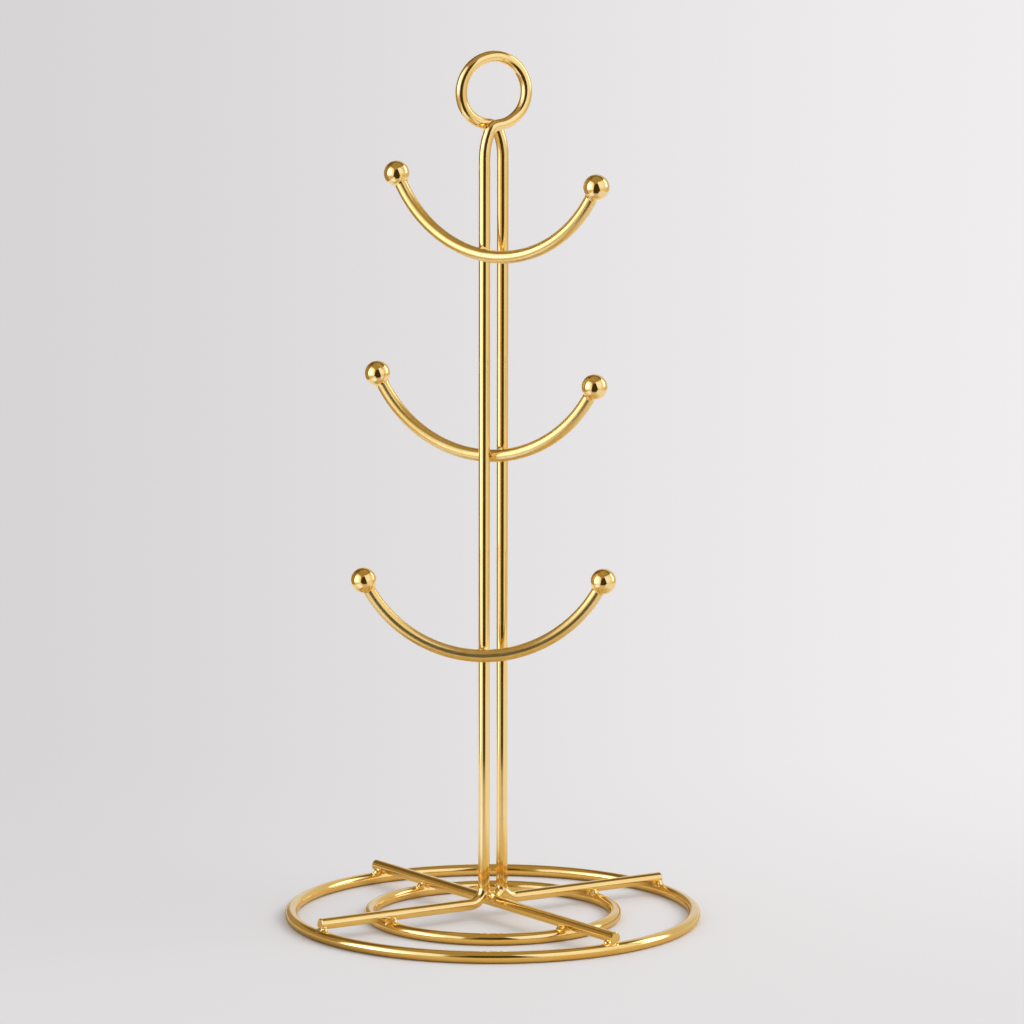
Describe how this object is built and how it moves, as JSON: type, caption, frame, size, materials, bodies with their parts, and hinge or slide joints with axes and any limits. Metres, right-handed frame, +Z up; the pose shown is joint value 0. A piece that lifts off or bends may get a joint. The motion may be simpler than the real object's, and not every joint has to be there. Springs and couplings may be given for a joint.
{
  "type": "jewellery stand",
  "caption": "Free-standing jewellery stand of bent and welded gold wire, with a round double-ring base, paired uprights, a top loop and curved arms with ball ends.",
  "frame": {"origin": "on the table at the centre of the two base rings", "axes": "+Z up along the uprights; +X to the right and +Y away from someone who faces the stand"},
  "size_m": [0.1569, 0.1568, 0.3282],
  "materials": {
    "gold_wire": "polished gold plate on round wire",
    "gold_arm_rod": "polished gold plate on bent rod",
    "gold_ball": "polished gold plate on a turned ball",
    "weld_metal": "gold plate over a slightly rough weld bead"
  },
  "bodies": {
    "root": {"outer_base_ring": "gold_wire", "inner_base_ring": "gold_wire", "cross_rod": "gold_wire", "frame_wire": "gold_wire", "top_arm": "gold_arm_rod", "middle_arm": "gold_arm_rod", "bottom_arm": "gold_arm_rod", "top_left_ball": "gold_ball", "top_right_ball": "gold_ball", "middle_left_ball": "gold_ball", "middle_right_ball": "gold_ball", "bottom_left_ball": "gold_ball", "bottom_right_ball": "gold_ball", "ring_welds": "weld_metal", "foot_weld": "weld_metal", "arm_welds": "weld_metal", "loop_weld": "weld_metal", "ball_solder": "weld_metal"}
  },
  "joints": []
}
